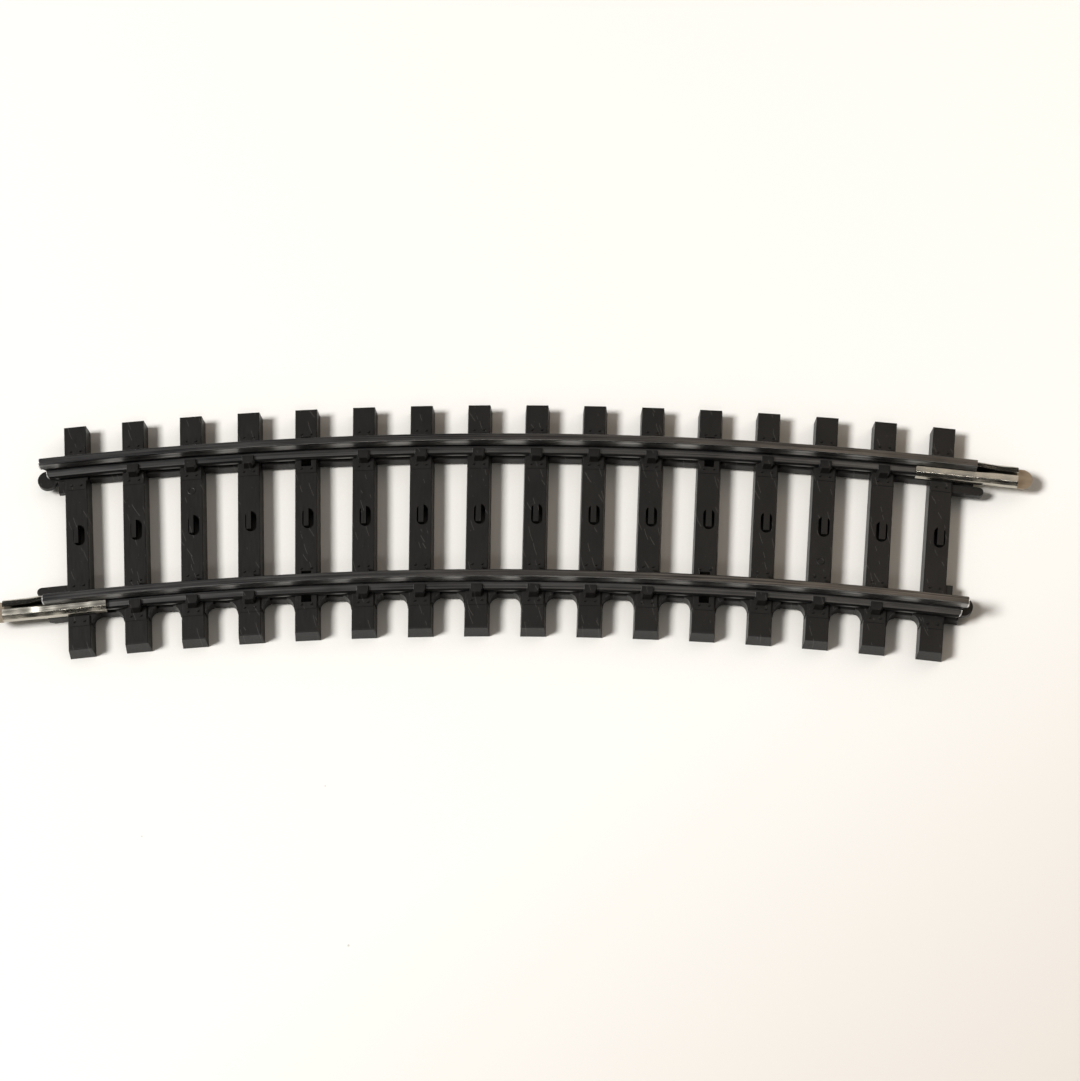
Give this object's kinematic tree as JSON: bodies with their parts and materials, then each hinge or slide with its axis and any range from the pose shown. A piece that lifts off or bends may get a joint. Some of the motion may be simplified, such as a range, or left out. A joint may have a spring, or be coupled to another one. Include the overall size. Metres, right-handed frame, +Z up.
{
  "type": "model railway track section",
  "caption": "Curved two-rail model track section with moulded sleepers, chairs, tie strips and two slide-on rail joiners.",
  "frame": {"origin": "under the middle of the whole outline, on the plane the sleepers stand on; the track centreline's midpoint is 1.1 mm towards -X and 1.5 mm towards +Y of it", "axes": "+X along the track at its middle, towards the right-hand end; +Y towards the outside of the curve; +Z up"},
  "size_m": [0.1194, 0.032, 0.0048],
  "materials": {
    "base_plastic": "satin moulded, fine scratches",
    "rail_metal": "drawn, dull, lightly tarnished",
    "joiner_metal": "folded sheet, nickel silver, satin"
  },
  "bodies": {
    "track": {"sleeper_01": "base_plastic", "sleeper_02": "base_plastic", "sleeper_03": "base_plastic", "sleeper_04": "base_plastic", "sleeper_05": "base_plastic", "sleeper_06": "base_plastic", "sleeper_07": "base_plastic", "sleeper_08": "base_plastic", "sleeper_09": "base_plastic", "sleeper_10": "base_plastic", "sleeper_11": "base_plastic", "sleeper_12": "base_plastic", "sleeper_13": "base_plastic", "sleeper_14": "base_plastic", "sleeper_15": "base_plastic", "sleeper_16": "base_plastic", "chairs_outer": "base_plastic", "chairs_inner": "base_plastic", "tie_strip_outer": "base_plastic", "tie_strip_inner": "base_plastic", "rail_outer": "rail_metal", "rail_inner": "rail_metal", "peg_right": "base_plastic", "peg_left": "base_plastic", "lug_right": "base_plastic", "lug_left": "base_plastic"},
    "right_joiner": {"joiner_right": "joiner_metal"},
    "left_joiner": {"joiner_left": "joiner_metal"}
  },
  "joints": [
    {"name": "right_joiner_slide", "type": "slide", "parent": "track", "child": "right_joiner", "axis": [0.993, -0.1183, 0], "range_m": [0, 0.007]},
    {"name": "left_joiner_slide", "type": "slide", "parent": "track", "child": "left_joiner", "axis": [-0.993, -0.118, 0], "range_m": [0, 0.007]}
  ]
}
